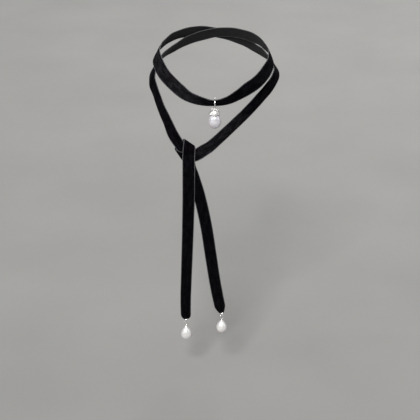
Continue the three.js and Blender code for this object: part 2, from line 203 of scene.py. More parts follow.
FRONT_TAIL = [
    knot(1.5, 6, 2, RIBBON_WIDTH),
    knot(1.5, -1, 2.1, RIBBON_WIDTH),
    chest(-25, -77.8, -84, -7, 16, 12.7),
    chest(-25.1, -80.3, -97, -3, 10, 12.5),
    chest(-25.3, -81.8, -116, 0, 5, 12.4),
    chest(-26.4, -83, -153.5, 0, 2, 11.8),
    chest(-27.8, -83.6, -192.5, 0, 0, 11.4),
    chest(-29, -83.6, -227, 0, 0, 11),
    chest(-29, -83.3, -244.5, 0, 0, 10.6),
    chest(-28.8, -83.2, -247.8, 0, 0, 9.2),
    chest(-28.7, -83.2, -249.9, 0, 0, 5.4),
]


def unit(v):
    """The same directions, one unit long."""
    return v / np.linalg.norm(v, axis=-1, keepdims=True)


def run_along(path):
    """The length from the first point of a path to each of its points."""
    return np.concatenate([[0], np.cumsum(np.linalg.norm(np.diff(path, axis=0), axis=1))])


def curve_through(points, t, centripetal=True):
    """The Catmull-Rom curve through rows of numbers, at each t counted in points from 0."""
    points = np.asarray(points, float).reshape(len(points), -1)
    last = len(points) - 1
    i = np.clip(np.floor(t).astype(int), 0, last - 1)
    w = (np.asarray(t, float) - i)[:, None]
    ahead = 2 * points[0] - points[1] if centripetal else points[0]
    behind = 2 * points[-1] - points[-2] if centripetal else points[-1]
    knots = np.vstack([ahead, points, behind])
    p0, p1, p2, p3 = (knots[i + k] for k in range(4))
    if centripetal:
        d0, d1, d2 = (((b - a) ** 2).sum(1, keepdims=True) ** 0.25 for a, b in ((p0, p1), (p1, p2), (p2, p3)))
        d1 = np.where(d1 < 1e-4, 1, d1)
        d0 = np.where(d0 < 1e-4, d1, d0)
        d2 = np.where(d2 < 1e-4, d1, d2)
        m1 = ((p1 - p0) / d0 - (p2 - p0) / (d0 + d1) + (p2 - p1) / d1) * d1
        m2 = ((p2 - p1) / d1 - (p3 - p1) / (d1 + d2) + (p3 - p2) / d2) * d1
    else:
        m1, m2 = (p2 - p0) / 2, (p3 - p1) / 2
    c2 = 3 * (p2 - p1) - 2 * m1 - m2
    c3 = 2 * (p1 - p2) + m1 + m2
    return p1 + m1 * w + c2 * w**2 + c3 * w**3


def direction_of(points, t, centripetal=True):
    """The unit tangent of the curve through the points at each t."""
    before = curve_through(points, np.maximum(t - NUDGE, 0), centripetal)
    after = curve_through(points, np.minimum(t + NUDGE, len(points) - 1), centripetal)
    return unit(after - before)


def even_steps(points, start, end, centripetal=True):
    """Values of t from start to end at which the curve through the points moves on by about ROW_STEP."""
    fine = np.linspace(start, end, PROBES * max(1, math.ceil(end - start)))
    run = run_along(curve_through(points, fine, centripetal))
    count = max(2, round(run[-1] / ROW_STEP) + 1)
    return np.interp(np.linspace(0, run[-1], count), run, fine)


class Laid:
    """Rows of a ribbon that lies along stations, between two of them."""

    def __init__(self, stations, start, end):
        table = np.array(stations)
        places, ways, widths = table[:, :3], table[:, 3:6], table[:, 6:]
        t = even_steps(places, start, end)
        self.centre = curve_through(places, t)
        tangent = direction_of(places, t)
        out = curve_through(ways, t)
        out -= (out * tangent).sum(1, keepdims=True) * tangent
        self.out = unit(out)
        self.side = np.cross(tangent, self.out)
        self.width = curve_through(widths, t)[:, 0]

    def place(self, across, height):
        """Where points come to lie that are across each row and above its middle surface."""
        return (
            self.centre[:, None]
            + self.side[:, None] * across[..., None]
            + self.out[:, None] * height[..., None]
        )


class Fold:
    """Bends a flat layer of the knot back over itself along a line, through a half turn."""

    def __init__(self, centre, along, radius, layer, side):
        self.centre = np.array(centre, float)
        self.line = unit(np.array(along, float))
        self.beyond = side * np.array([self.line[1], -self.line[0]])
        self.radius, self.height, self.side = radius, layer * LAYER_PITCH, side

    def bend(self, flat):
        """Where points of the unfolded flat ribbon come to lie, and which way they face."""
        offset = flat - self.centre
        along, past = offset @ self.line, offset @ self.beyond
        turn = np.clip(past / self.radius, 0, math.pi)
        straight = np.where(past < 0, past, -np.maximum(past - math.pi * self.radius, 0))
        reach = straight + self.radius * np.sin(turn)
        height = self.height - self.side * self.radius * (1 - np.cos(turn))
        right = self.centre[0] + self.line[0] * along + self.beyond[0] * reach
        up = self.centre[1] + self.line[1] * along + self.beyond[1] * reach
        beyond = self.beyond[0] * KNOT_RIGHT + self.beyond[1] * KNOT_UP
        out = self.side * np.cos(turn)[..., None] * KNOT_OUT + np.sin(turn)[..., None] * beyond
        return knot_point(right, up, height / LAYER_PITCH), out

    def unfold(self, point):
        """Where a point of the knot beyond the fold lies on the unfolded flat ribbon."""
        offset = np.array(point, float) - self.centre
        past = math.pi * self.radius - offset @ self.beyond
        return self.centre + self.line * (offset @ self.line) + self.beyond * past


class Folded:
    """Rows of a ribbon that lies in the knot and is bent back at one fold."""

    def __init__(self, path, widths, fold):
        path = np.array(path, float)
        t = even_steps(path, 0, len(path) - 1, centripetal=False)
        way = direction_of(path, t, centripetal=False)
        self.fold = fold
        self.flat = curve_through(path, t, centripetal=False)
        self.square = fold.side * np.stack([way[:, 1], -way[:, 0]], axis=1)
        self.width = curve_through(widths, t, centripetal=False)[:, 0]
        self.centre = fold.bend(self.flat)[0]

    def place(self, across, height):
        """Where points come to lie that are across each row and above its middle surface."""
        point, out = self.fold.bend(self.flat[:, None] + self.square[:, None] * across[..., None])
        return point + out * height[..., None]


# The left fold goes back under the knot, and the top fold comes forward over it
SIDE_FOLD = Fold([-7.8, 0.9], [0.625, -0.78], LAYER_PITCH, 1, 1)
TOP_FOLD = Fold([1.5, 10.75], [0.866, -0.5], 1.5 * LAYER_PITCH, -1, -1)
CROSSING = [[16, 6.5], [8, 1], [0, -1.4], [-7.6, -0.6]]
RETURNING = [SIDE_FOLD.unfold(p) for p in ([-10, 2.2], [-9.2, 5.4], [-6.4, 8.4])]
TOP_BACK = [[-6.4, 8.4], [-4.7, 10.15], [-1.9, 11.9]]
TOP_FRONT = [TOP_FOLD.unfold(p) for p in ([1.5, 9.2], [1.5, 6])]

# ---- The ribbon's cross-section ------------------------------------------------------------------

HALF = RIBBON_WIDTH / 2
PILE_HALF = HALF - 0.72
PILE_STEPS = 10
PILE_HEIGHT = 0.42
PILE_SHOULDER = 0.1  # how far the pile rounds down at its edges
BACK_HEIGHT = -0.32
PILE, SELVEDGE, BACKING = 0, 1, 2  # material slots of a ribbon piece

# One edge, as how far in from the side and how high: a groove beside the pile, then the woven cord of
# the selvedge, from the front round to the back
EDGE_IN = [
    (0.66, 0.14), (0.58, 0.24), (0.42, 0.35), (0.2, 0.32), (0.05, 0.17),
    (0, 0), (0.05, -0.17), (0.2, -0.31), (0.42, -0.35), (0.62, -0.33),
]
EDGE = [(HALF - inward, height) for inward, height in EDGE_IN]


def cross_section():
    """The ribbon's closed outline: each point's place across and height, and each face's material."""
    points, kinds = [], []
    for i in range(2 * PILE_STEPS + 1):
        q = (i - PILE_STEPS) / PILE_STEPS
        points.append((PILE_HALF * q, PILE_HEIGHT - PILE_SHOULDER * abs(q) ** 5))
        kinds.append(PILE)
    for p in EDGE:
        points.append(p)
        kinds.append(SELVEDGE)
    for i in range(1, PILE_STEPS):
        q = 1 - 2 * i / PILE_STEPS
        points.append((PILE_HALF * q, BACK_HEIGHT))
        kinds.append(BACKING)
    for across, height in reversed(EDGE):
        points.append((-across, height))
        kinds.append(SELVEDGE)
    kinds[2 * PILE_STEPS] = SELVEDGE
    kinds[2 * PILE_STEPS + len(EDGE)] = BACKING
    return np.array(points), kinds


SECTION, SECTION_KINDS = cross_section()


def bell(x, centre, width):
    """1 at the centre, falling to nothing on both sides."""
    return np.exp(-(((x - centre) / width) ** 2))


def smooth(x, low, high):
    """0 below low, 1 above high, and a smooth step between them."""
    t = np.clip((x - low) / (high - low), 0, 1)
    return t * t * (3 - 2 * t)


SHORTEST_STEP = 0.3  # two rows closer than this, where two parts meet, are made one
SOFTENED_ROWS = 5  # on each side of a join
SOFTENING_PASSES = 8


def ribbon_mesh(name, parts, start_run, shape, soft_joins=()):
    """A closed ribbon through the rows of its parts, with its rows evened out at each soft join.

    shape(run, q) is the height of its middle surface at a length along it and from edge to edge, -1 to 1.
    """
    centres = np.vstack([part.centre for part in parts])
    widths = np.concatenate([part.width for part in parts])
    run = start_run + run_along(centres)
    flat, lift = SECTION[:, 0], SECTION[:, 1]
    q = flat / HALF
    small = 0.02
    middle = shape(run[:, None], q[None, :])
    slope = (shape(run[:, None], q[None, :] + small) - middle) / (small * widths[:, None] / 2)
    normal = np.sqrt(1 + slope**2)
    across = q * widths[:, None] / 2 - slope / normal * lift
    height = middle + lift / normal
    rows, first = [], 0
    for part in parts:
        count = len(part.centre)
        rows.append(part.place(across[first:first + count], height[first:first + count]))
        first += count
    keep = np.concatenate([[True], np.diff(run) > SHORTEST_STEP])
    grid = np.concatenate(rows)[keep]
    run = run[keep]
    for at in soft_joins:
        i = int(np.argmin(np.abs(run - at)))
        low, high = max(i - SOFTENED_ROWS, 1), min(i + SOFTENED_ROWS + 1, len(grid) - 1)
        for _ in range(SOFTENING_PASSES):
            mean = (grid[low - 1:high - 1] + 2 * grid[low:high] + grid[low + 1:high + 1]) / 4
            grid[low:high] = mean
    return solid_from_rows(name, grid, run)


def solid_from_rows(name, grid, run):
    """The piece whose skin goes through rows of closed outlines, with its lengths as UVs and its painted
    sheen.
    """
    rows, loop = grid.shape[:2]
    faces = []
    for first in range(0, (rows - 1) * loop, loop):
        for j in range(loop):
            following = (j + 1) % loop
            faces.append((first + j, first + following, first + loop + following, first + loop + j))
    ends = [tuple(reversed(range(loop))), tuple(range((rows - 1) * loop, rows * loop))]
    mesh = bpy.data.meshes.new(name)
    mesh.from_pydata((grid.reshape(-1, 3) * MM).tolist(), [], faces + ends)
    mesh.polygons.foreach_set("use_smooth", [True] * len(mesh.polygons))
    kinds = SECTION_KINDS * (rows - 1) + [SELVEDGE, SELVEDGE]
    mesh.polygons.foreach_set("material_index", kinds)
    layer = mesh.uv_layers.new(name="ribbon")
    lengths = np.repeat(run * MM, loop)
    around = np.tile(SECTION[:, 0] * MM, rows)
    corners = np.zeros(len(mesh.loops), int)
    mesh.loops.foreach_get("vertex_index", corners)
    layer.data.foreach_set("uv", np.stack([lengths[corners], around[corners]], axis=1).ravel())
    # painted sheen: a weight along the ribbon, high where the pile catches the light
    painted_sheen = mesh.attributes.new("painted_sheen", "FLOAT", "POINT")
    painted_sheen.data.foreach_set("value", np.repeat(painted_sheen_along(run), loop).astype(np.float32))
    mesh.validate()
    mesh.update()
    return in_scene(bpy.data.objects.new(name, mesh))


# ---- Lengths along the ribbon --------------------------------------------------------------------

LONG_ROUTE = RIGHT_TAIL + LEFT_STRAND + LEFT_WRAP + FRONT_BAND + RIGHT_WRAP + RIGHT_STRAND
TAIL_END = len(RIGHT_TAIL)  # the station under the crossing at which the right tail's piece ends
ROUTE_END = len(LONG_ROUTE) - 1
RUN_PROBES = 40  # how finely a length is measured between two stations


def run_at(station):
    """The length from the right tail's tip to a station of the long route."""
    t = np.linspace(0, station, RUN_PROBES * max(1, station) + 1)
    return float(run_along(curve_through(np.array(LONG_ROUTE)[:, :3], t))[-1])


LEFT_BEND = len(RIGHT_TAIL) + len(LEFT_STRAND)
FRONT_START = LEFT_BEND + len(LEFT_WRAP)
MIDDLE = FRONT_START + len(FRONT_BAND) // 2
FRONT_END = FRONT_START + len(FRONT_BAND)
STRAND_START = FRONT_END + len(RIGHT_WRAP)

RUN_TAIL_TOP = run_at(TAIL_END - 1)
RUN_KNOT_TOP = run_at(TAIL_END + 2)
RUN_LEFT_BEND = run_at(LEFT_BEND)
RUN_MIDDLE = run_at(MIDDLE)
RUN_FRONT_START = run_at(FRONT_START)
RUN_FRONT_END = run_at(FRONT_END)
RUN_STRAND = run_at(STRAND_START)
RUN_ENTRY = run_at(ROUTE_END)


def between(run, rise, fall):
    """1 from the end of the rise to the start of the fall, each given as two lengths, and 0 outside them."""
    return smooth(run, *rise) * (1 - smooth(run, *fall))


def painted_sheen_along(run):
    """How much painted sheen the pile gets, standing for the light it catches: 0 lies dark, 1 lies pale."""
    # painted sheen on the front band past its middle, on the right strand and round the nape
    front = between(run, (RUN_MIDDLE + 5, RUN_MIDDLE + 24), (RUN_FRONT_END - 4, RUN_FRONT_END + 60))
    strand = between(run, (RUN_STRAND + 45, RUN_STRAND + 75), (RUN_ENTRY + 2, RUN_ENTRY + 12))
    nape = bell(run, RUN_FRONT_START - 60, 40)
    return np.clip(front + 0.6 * strand + 0.2 * nape, 0, 1)


def ripple(run, q, free):
    """The small unevenness of a soft ribbon: its edges lift and fall, and it is never quite flat."""
    edge = 0.22 * np.sin(run / 6.1 + 0.8) * q**2 + 0.14 * np.sin(run / 2.9 + 2.2 * q) * q**2
    body = 0.16 * np.sin(run / 9.7 + 1.9 * q + 0.4) + 0.1 * np.sin(run / 4.3 - 2.6 * q)
    return free * (edge + body)


def root_shape(run, q):
    """The curl of the strands, the gathers in the centre ring and flat layers in the knot."""
    free = between(run, (RUN_KNOT_TOP - 6, RUN_KNOT_TOP + 14), (RUN_ENTRY - 22, RUN_ENTRY - 6))
    round_neck = between(run, (RUN_LEFT_BEND, RUN_LEFT_BEND + 22), (RUN_STRAND - 22, RUN_STRAND))
    curl = free * np.where(q < 0, 1.6 - 1.35 * round_neck, 0.3 - 0.05 * round_neck)
    gather = bell(run, RUN_MIDDLE, 13) + 0.35 * bell(run, RUN_MIDDLE + 16, 12)
    pleats = 0.52 * gather * np.cos(7.6 * q + 0.5) + 0.2 * gather * np.cos(14 * q - 0.6)
    crease = 0.5 * bell(run, RUN_ENTRY - 16, 9) * bell(q, 0.35, 0.3)
    pinch = 0.6 * bell(run, RUN_MIDDLE, 6) * smooth(-q, 0.2, 0.9)  # the ring pulls the lower edge in
    unevenness = ripple(run, q, free * (1 - 0.6 * np.minimum(gather, 1)))
    return -curl * q**2 + pleats - crease - pinch + unevenness


def tip_pleats(from_tip, q):
    """Gathers that draw a tail's end in towards its ring."""
    drawn = 1 - smooth(from_tip, 1.5, 13)
    return 0.62 * drawn * np.cos(8.6 * q + 0.7) * (1 - 0.35 * q**2)


def right_tail_shape(run, q):
    """The right tail's curl and gathers. Its run starts at its tip."""
    free = smooth(RUN_TAIL_TOP - run, 2, 26)
    curl = 0.55 * free * smooth(run, 10, 40)
    return -curl * q**2 + tip_pleats(run, q) + ripple(run, q, free)


def front_tail_shape(run, q):
    """The front tail's curl and gathers. Its run ends at its tip."""
    down = run - RUN_FRONT_TAIL
    free = smooth(down, 16, 34)
    curl = 0.42 * smooth(down, 4, 40)
    return -curl * q**2 + tip_pleats(RUN_TIP - run, q) + ripple(run, q, free)


# ---- Ribbon pieces -------------------------------------------------------------------------------

wrap = Folded(CROSSING + RETURNING, [12, 11.8, 10, 8.6, 9, 9.6, 9.6], SIDE_FOLD)
top = Folded(TOP_BACK + TOP_FRONT, [9.6, 10.2, 11.6, RIBBON_WIDTH, RIBBON_WIDTH], TOP_FOLD)
front = Laid(FRONT_TAIL, 0, len(FRONT_TAIL) - 1)
WRAP_LENGTH, TOP_LENGTH, FRONT_LENGTH = (float(run_along(part.centre)[-1]) for part in (wrap, top, front))
RUN_TOP = RUN_ENTRY + WRAP_LENGTH
RUN_FRONT_TAIL = RUN_TOP + TOP_LENGTH
RUN_TIP = RUN_FRONT_TAIL + FRONT_LENGTH

right_tail = ribbon_mesh(
    "velvet_right_tail", [Laid(LONG_ROUTE, 0, TAIL_END)], 0, right_tail_shape
)
root_ribbon = ribbon_mesh(
    "velvet_ribbon", [Laid(LONG_ROUTE, TAIL_END, ROUTE_END), wrap], run_at(TAIL_END), root_shape,
    [RUN_ENTRY],
)
front_tail = ribbon_mesh(
    "velvet_front_tail", [top, front], RUN_TOP, front_tail_shape, [RUN_FRONT_TAIL]
)

# ---- Materials -----------------------------------------------------------------------------------


class Shader:
    """A Principled material and short ways to add nodes to it."""

    def __init__(self, name, **inputs):
        self.material = bpy.data.materials.new(name)
        self.material.use_nodes = True
        self.tree = self.material.node_tree
        self.surface = self.tree.nodes["Principled BSDF"]
        for key, value in inputs.items():
            self.surface.inputs[key.replace("_", " ")].default_value = value

    def node(self, kind, inputs=None, **settings):
        node = self.tree.nodes.new("ShaderNode" + kind)
        for key, value in settings.items():
            setattr(node, key, value)
        for key, value in (inputs or {}).items():
            if isinstance(value, bpy.types.NodeSocket):
                self.tree.links.new(value, node.inputs[key])
            else:
                node.inputs[key].default_value = value
        return node

    def to(self, key, socket):
        """Drives one of the shader's inputs with a node's output."""
        self.tree.links.new(socket, self.surface.inputs[key])

    def along_ribbon(self, scale_along, scale_across):
        """Coordinates that follow the ribbon, in steps to the metre each way."""
        uv = self.node("UVMap", uv_map="ribbon").outputs["UV"]
        scaled = self.node("Mapping", {"Vector": uv, "Scale": (scale_along, scale_across, 1)})
        return scaled.outputs["Vector"]

    def noise(self, vector, scale, detail=2.0, roughness=0.5):
        inputs = {"Vector": vector, "Scale": scale, "Detail": detail, "Roughness": roughness}
        return self.node("TexNoise", inputs).outputs["Fac"]

    def spread(self, value, low, high, to_low, to_high):
        """The value with low to high stretched over to_low to to_high, and held beyond them."""
        inputs = {"Value": value, "From Min": low, "From Max": high, "To Min": to_low, "To Max": to_high}
        return self.node("MapRange", inputs).outputs["Result"]

    def blend(self, factor, a, b):
        """Colour a where the factor is 0, and b where it is 1."""
        mix = self.node("Mix", data_type="RGBA")
        for socket, value in ((mix.inputs[0], factor), (mix.inputs[6], a), (mix.inputs[7], b)):
            if isinstance(value, bpy.types.NodeSocket):
                self.tree.links.new(value, socket)
            else:
                socket.default_value = value
        return mix.outputs[2]

    def math(self, operation, a, b):
        return self.node("Math", {0: a, 1: b}, operation=operation).outputs[0]

    def bump(self, height, distance, strength=1.0, normal=None):
        inputs = {"Height": height, "Distance": distance, "Strength": strength}
        if normal is not None:
            inputs["Normal"] = normal
        return self.node("Bump", inputs).outputs["Normal"]


def velvet_pile():
    """Short black pile, crushed in patches and clumped, paler where a painted sheen stands for the light the
    pile catches, with lighter specks of fibre grain and painted fibre glints.
    """
    s = Shader("velvet_pile", Sheen_Weight=0.02, Sheen_Roughness=0.35, Sheen_Tint=(0.62, 0.6, 0.68, 1))
    s.surface.inputs["Specular IOR Level"].default_value = 0.02
    crush = s.noise(s.along_ribbon(110, 240), 1, 3, 0.62)
    clumps = s.noise(s.along_ribbon(900, 1500), 1, 2, 0.6)
    fibres = s.noise(s.along_ribbon(2600, 4200), 1, 1, 0.5)
    # painted sheen: where its weight is high the pile takes the pale colour, standing for light caught by the
    # pile
    painted_sheen = s.node("Attribute", attribute_name="painted_sheen").outputs["Fac"]
    patches = s.spread(crush, 0.44, 0.62, 0.0, 1.0)
    brushed = s.math("MULTIPLY", patches, s.spread(clumps, 0.4, 0.62, 0.1, 1.0))
    dark = s.blend(brushed, (0.0004, 0.0002, 0.0007, 1), (0.0045, 0.0039, 0.0058, 1))
    pale = s.blend(brushed, (0.0045, 0.0041, 0.0053, 1), (0.024, 0.0225, 0.026, 1))
    colour = s.blend(painted_sheen, dark, pale)
    # lighter specks: fibre grain, and painted glints of light on the fibres
    fibre_grain_and_glints = s.spread(fibres, 0.52, 0.78, 0.0, 0.4)
    s.to("Base Color", s.blend(fibre_grain_and_glints, colour, (0.028, 0.026, 0.031, 1)))
    s.to("Roughness", s.spread(crush, 0.3, 0.7, 0.98, 0.78))
    soft = s.bump(crush, 0.0011, 0.8)
    s.to("Normal", s.bump(s.math("ADD", clumps, fibres), 0.0003, 0.9, soft))
    return s.material


def satin_selvedge():
    """A satin edge of slanting threads, a little worn."""
    s = Shader("satin_selvedge", Roughness=0.42, Sheen_Weight=0.2, Sheen_Roughness=0.3)
    thread = s.node(
        "TexWave", {"Vector": s.along_ribbon(1, 0.35), "Scale": 480, "Distortion": 0.6, "Detail": 1},
        wave_type="BANDS", bands_direction="DIAGONAL",
    ).outputs["Fac"]
    wear = s.noise(s.along_ribbon(160, 300), 1, 3)
    colour = s.blend(thread, (0.02, 0.02, 0.023, 1), (0.105, 0.103, 0.11, 1))
    s.to("Base Color", s.blend(s.spread(wear, 0.35, 0.7, 0.0, 0.5), colour, (0.02, 0.02, 0.024, 1)))
    s.to("Roughness", s.spread(wear, 0.3, 0.7, 0.36, 0.55))
    s.to("Normal", s.bump(thread, 0.00012, 0.8))
    return s.material


def woven_backing():
    """The plain weave behind the pile."""
    s = Shader("woven_backing", Sheen_Weight=0.04, Sheen_Roughness=0.4)
    s.surface.inputs["Specular IOR Level"].default_value = 0.2
    weft = s.node(
        "TexWave", {"Vector": s.along_ribbon(1, 0), "Scale": 620, "Distortion": 0.3}
    ).outputs["Fac"]
    warp = s.node(
        "TexWave", {"Vector": s.along_ribbon(0, 1), "Scale": 800, "Distortion": 0.3}, bands_direction="Y"
    ).outputs["Fac"]
    cloth = s.math("MULTIPLY", weft, warp)
    patch = s.noise(s.along_ribbon(70, 120), 1, 2)
    colour = s.blend(cloth, (0.004, 0.004, 0.005, 1), (0.02, 0.0195, 0.022, 1))
    s.to("Base Color", s.blend(s.spread(patch, 0.35, 0.7, 0.0, 0.4), colour, (0.022, 0.021, 0.024, 1)))
    s.to("Roughness", s.spread(patch, 0.3, 0.7, 0.62, 0.8))
    s.to("Normal", s.bump(cloth, 0.0001, 0.7))
    return s.material


def polished_silver(name, tone, roughness):
    """Silver with fine drawn scratches and a breath of tarnish."""
    s = Shader(name, Metallic=1.0)
    place = s.node("TexCoord").outputs["Object"]
    scratches = s.noise(s.node("Mapping", {"Vector": place, "Scale": (900, 900, 3800)}).outputs[0], 1, 3)
    tarnish = s.noise(place, 420, 3, 0.6)
    s.to("Base Color", s.blend(s.spread(tarnish, 0.5, 0.78, 0.0, 0.4), tone, (0.52, 0.5, 0.47, 1)))
    s.to("Roughness", s.spread(scratches, 0.3, 0.7, roughness, roughness + 0.12))
    s.to("Normal", s.bump(scratches, 0.00002, 0.5))
    return s.material


def nacre(name, pale, shade, tint, roughness):
    """Pearl: a clouded, faintly ringed and pitted body under a lustrous coat."""
    s = Shader(
        name, Subsurface_Weight=0.1, Subsurface_Scale=0.003, Coat_Weight=0.7, Coat_Roughness=0.16,
        Coat_IOR=1.6, IOR=1.66, Metallic=0.35, Thin_Film_Thickness=360.0, Thin_Film_IOR=1.4,
    )
    s.surface.inputs["Subsurface Radius"].default_value = (1.0, 0.85, 0.75)
    place = s.node("TexCoord").outputs["Object"]
    cloud = s.noise(place, 210, 3, 0.55)
    growth = s.noise(s.node("Mapping", {"Vector": place, "Scale": (260, 260, 900)}).outputs[0], 1, 3)
    pits = s.noise(place, 1500, 2)
    colour = s.blend(s.spread(cloud, 0.32, 0.68, 0.0, 1.0), pale, shade)
    s.to("Base Color", s.blend(s.spread(growth, 0.45, 0.75, 0.0, 0.6), colour, tint))
    s.to("Roughness", s.spread(growth, 0.3, 0.7, roughness, roughness + 0.14))
    soft = s.bump(cloud, 0.0006, 0.4)
    s.to("Normal", s.bump(s.math("ADD", growth, pits), 0.00006, 0.5, soft))
    return s.material


ribbon_materials = [velvet_pile(), satin_selvedge(), woven_backing()]  # in the order of their slots
for piece in (right_tail, root_ribbon, front_tail):
    for material in ribbon_materials:
        piece.data.materials.append(material)

# ---- Pearls --------------------------------------------------------------------------------------

DRILL_RADIUS = 0.55
DRILL_DEPTHS = (2.0, 1.0, 0.25)  # below its brim, where the hole has a ring of points
PEARL_SIDES = 72
PEARL_RINGS = 56

# Shallow hollows of a grown pearl: bearing, place on the outline from 0 at the top to pi, width and depth
DENTS = [
    (-1.35, 2.05, 0.32, 0.035), (-2.4, 1.5, 0.5, 0.03), (0.2, 1.9, 0.6, 0.03), (1.6, 1.4, 0.45, 0.04),
]

# Radius, length, and how far the top is drawn out to a point
CENTRE_PEARL = (6.6, 18.0, 0.5)
FRONT_PEARL = (5.65, 15.4, 0.8)
RIGHT_PEARL = (5.65, 14.6, 0.7)


def bearings(count):
    """Evenly spaced angles all the way round."""
    return np.arange(count) * 2 * math.pi / count


def drop_point(drop, t):
    """A point of a drop's outline, as distance from the axis and height, from t = 0 at the top to pi."""
    radius, length, taper = drop
    every = np.linspace(0, math.pi, 181)
    widest = (np.sin(every) * np.sin(every / 2) ** taper).max()
    return np.stack(
        [radius * np.sin(t) * np.sin(t / 2) ** taper / widest, -length * (1 - np.cos(t)) / 2], axis=-1
    )


def turned(points, angle):
    """One ring of points: distances from the axis and heights, each at its bearing."""
    across, height = points[..., 0], points[..., 1]
    return np.stack([across * np.cos(angle), across * np.sin(angle), height + 0 * angle], axis=-1)


def new_piece(name, vertices, faces, material, smooth_faces=True):
    """A new piece of one material, from vertices in millimetres."""
    mesh = bpy.data.meshes.new(name)
    mesh.from_pydata((np.asarray(vertices) * MM).tolist(), [], faces)
    mesh.polygons.foreach_set("use_smooth", [smooth_faces] * len(mesh.polygons))
    mesh.validate()
    mesh.update()
    mesh.materials.append(material)
    return in_scene(bpy.data.objects.new(name, mesh))


def closed_lathe(rings):
    """Vertices and faces of a closed form: rings of points from its first pole to its last."""
    count = rings.shape[1]
    vertices = [rings[0].mean(0), *rings.reshape(-1, 3), rings[-1].mean(0)]
    last = len(vertices) - 1
    faces = []
    for j in range(count):
        here, there = 1 + j, 1 + (j + 1) % count
        faces.append((0, there, here))
        for ring in range(0, (len(rings) - 1) * count, count):
            faces.append((ring + here, ring + there, ring + count + there, ring + count + here))
        final = (len(rings) - 1) * count
        faces.append((last, final + here, final + there))
    return vertices, faces


def closed_shell(name, rings, top, material):
    """A thin cap: rings of points down its inside and back up its outside, joined round."""
    total, count = len(rings), rings[0].shape[0]
    faces = []
    for i in range(total):
        here, below = i * count, (i + 1) % total * count
        for j in range(count):
            following = (j + 1) % count
            faces.append((here + j, below + j, below + following, here + following))
    return new_piece(name, np.concatenate(rings) + top, faces, material)


def pearl(name, node, drop, top, lumps, material):
    """A drop with a drilled top, and the slight dents and rings of a grown pearl, scaled by lumps."""
    angle = bearings(PEARL_SIDES)
    fine = np.linspace(0, 1, 500)
    mouth = float(np.interp(DRILL_RADIUS, drop_point(drop, fine)[:, 0], fine))
    brim = drop_point(drop, mouth)[1]
    rings = [turned(np.array([DRILL_RADIUS, brim - depth]), angle) for depth in DRILL_DEPTHS]
    for a in np.linspace(mouth, math.pi - 0.02, PEARL_RINGS):
        r, z = drop_point(drop, a)
        fade = math.sin(min(a, math.pi / 2)) ** 2  # no dents where the cap or cup sits
        dent = (
            0.022 * np.sin(2 * angle + 1.1 + a)
            + 0.014 * np.sin(3 * angle - 2.3 * a)
            + 0.008 * np.sin(5 * angle + 3.1 * a)
            + 0.006 * math.sin(11 * a)
        )
        for bearing, level, width, depth in DENTS:
            turn = (angle - bearing + math.pi) % (2 * math.pi) - math.pi
            dent -= depth * np.exp(-((turn / width) ** 2) - ((a - level) / (0.6 * width)) ** 2)
        across = r * (1 + lumps * fade * (dent - 0.02))
        lean = lumps * fade * 0.12 * np.sin(angle + 0.6)
        rings.append(turned(np.stack([across, z + lean], axis=-1), angle))
    vertices, faces = closed_lathe(np.array(rings))
    piece = new_piece(name, np.array(vertices) + top, faces, material)
    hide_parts(node)
    return piece


# ---- Wire findings -------------------------------------------------------------------------------

WIRE_SIDES = 14
RING_POINTS = 97
EYE_POINTS = 64
EYE_RADIUS, EYE_TUBE = 1.8, 0.45
EYE_WIRE = 0.93 * EYE_TUBE  # a little thinner than in CAD
CUP_SHOULDER, PETAL_SHOULDER = 1.0, 0.4  # from the eye's lowest point down to the pearl's top
HAIRLINE = 0.028  # half the cut of a jump ring, as an angle
CUT_STEP = 0.09  # how far a jump ring's cut ends stand aside
STEM_LEVELS = (-4.6, -3.9, -3.3, -2.8, -2.4, -2.05)  # from deep in the pearl up to the eye


def tube(name, path, radius, material):
    """A round wire along a path, with rounded cut ends."""
    path = np.asarray(path, float)
    tangent = unit(np.gradient(path, axis=0))
    normal = np.zeros_like(path)
    guess = np.array([0.3, 1.0, 0.2])
    for i, way in enumerate(tangent):
        guess = guess - (guess @ way) * way
        guess /= np.linalg.norm(guess)
        normal[i] = guess
    other = np.cross(tangent, normal)
    angle = bearings(WIRE_SIDES)[:, None]
    outward = np.cos(angle) * normal[:, None] + np.sin(angle) * other[:, None]
    body = path[:, None] + radius * outward
    round_off = 0.22 * radius * tangent
    start = path[0] - round_off[0] + 0.8 * radius * outward[0]
    end = path[-1] + round_off[-1] + 0.8 * radius * outward[-1]
    vertices, faces = closed_lathe(np.concatenate([start[None], body, end[None]]))
    return new_piece(name, vertices, faces, material)


def middle_of(node):
    """The middle of a CAD node's box, in millimetres."""
    low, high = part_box(node)
    return (np.array(low) + np.array(high)) / 2 / MM


def jump_ring(name, node, radius, wire, cut_at, material):
    """A wire ring across Y and Z, cut through at one place, with the two ends closed to a hairline."""
    a = np.linspace(HAIRLINE, 2 * math.pi - HAIRLINE, RING_POINTS) + cut_at
    step_aside = CUT_STEP * np.linspace(-1, 1, RING_POINTS) ** 9
    path = np.stack([step_aside, radius * np.cos(a), radius * np.sin(a)], axis=1)
    piece = tube(name, path + middle_of(node), wire, material)
    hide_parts(node)
    return piece


def eye_peg(name, node, material):
    """A wire turned up from the pearl, round a loop and cut off beside its stem, and the loop's centre."""
    centre = middle_of(node)
    centre[2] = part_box(node)[1][2] / MM - EYE_RADIUS - EYE_TUBE
    a = np.linspace(-math.pi / 2, 1.38 * math.pi, EYE_POINTS)
    aside = np.linspace(-0.04, 0.1, EYE_POINTS)  # so that the loop's end passes its start
    loop = np.stack([EYE_RADIUS * np.cos(a), aside, EYE_RADIUS * np.sin(a)], axis=1)
    stem = np.array([[0, aside[0], z] for z in STEM_LEVELS])
    wire = tube(name, np.vstack([stem, loop]) + centre, EYE_WIRE, material)
    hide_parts(node)
    return wire, centre


CUP_SIDES, CUP_STEPS = 48, 10
CUP_START, CUP_RIM = 0.09, 0.5  # on the drop's outline
CUP_WAVE = 0.012  # how uneven the rim is
CUP_THICKNESS = 0.3


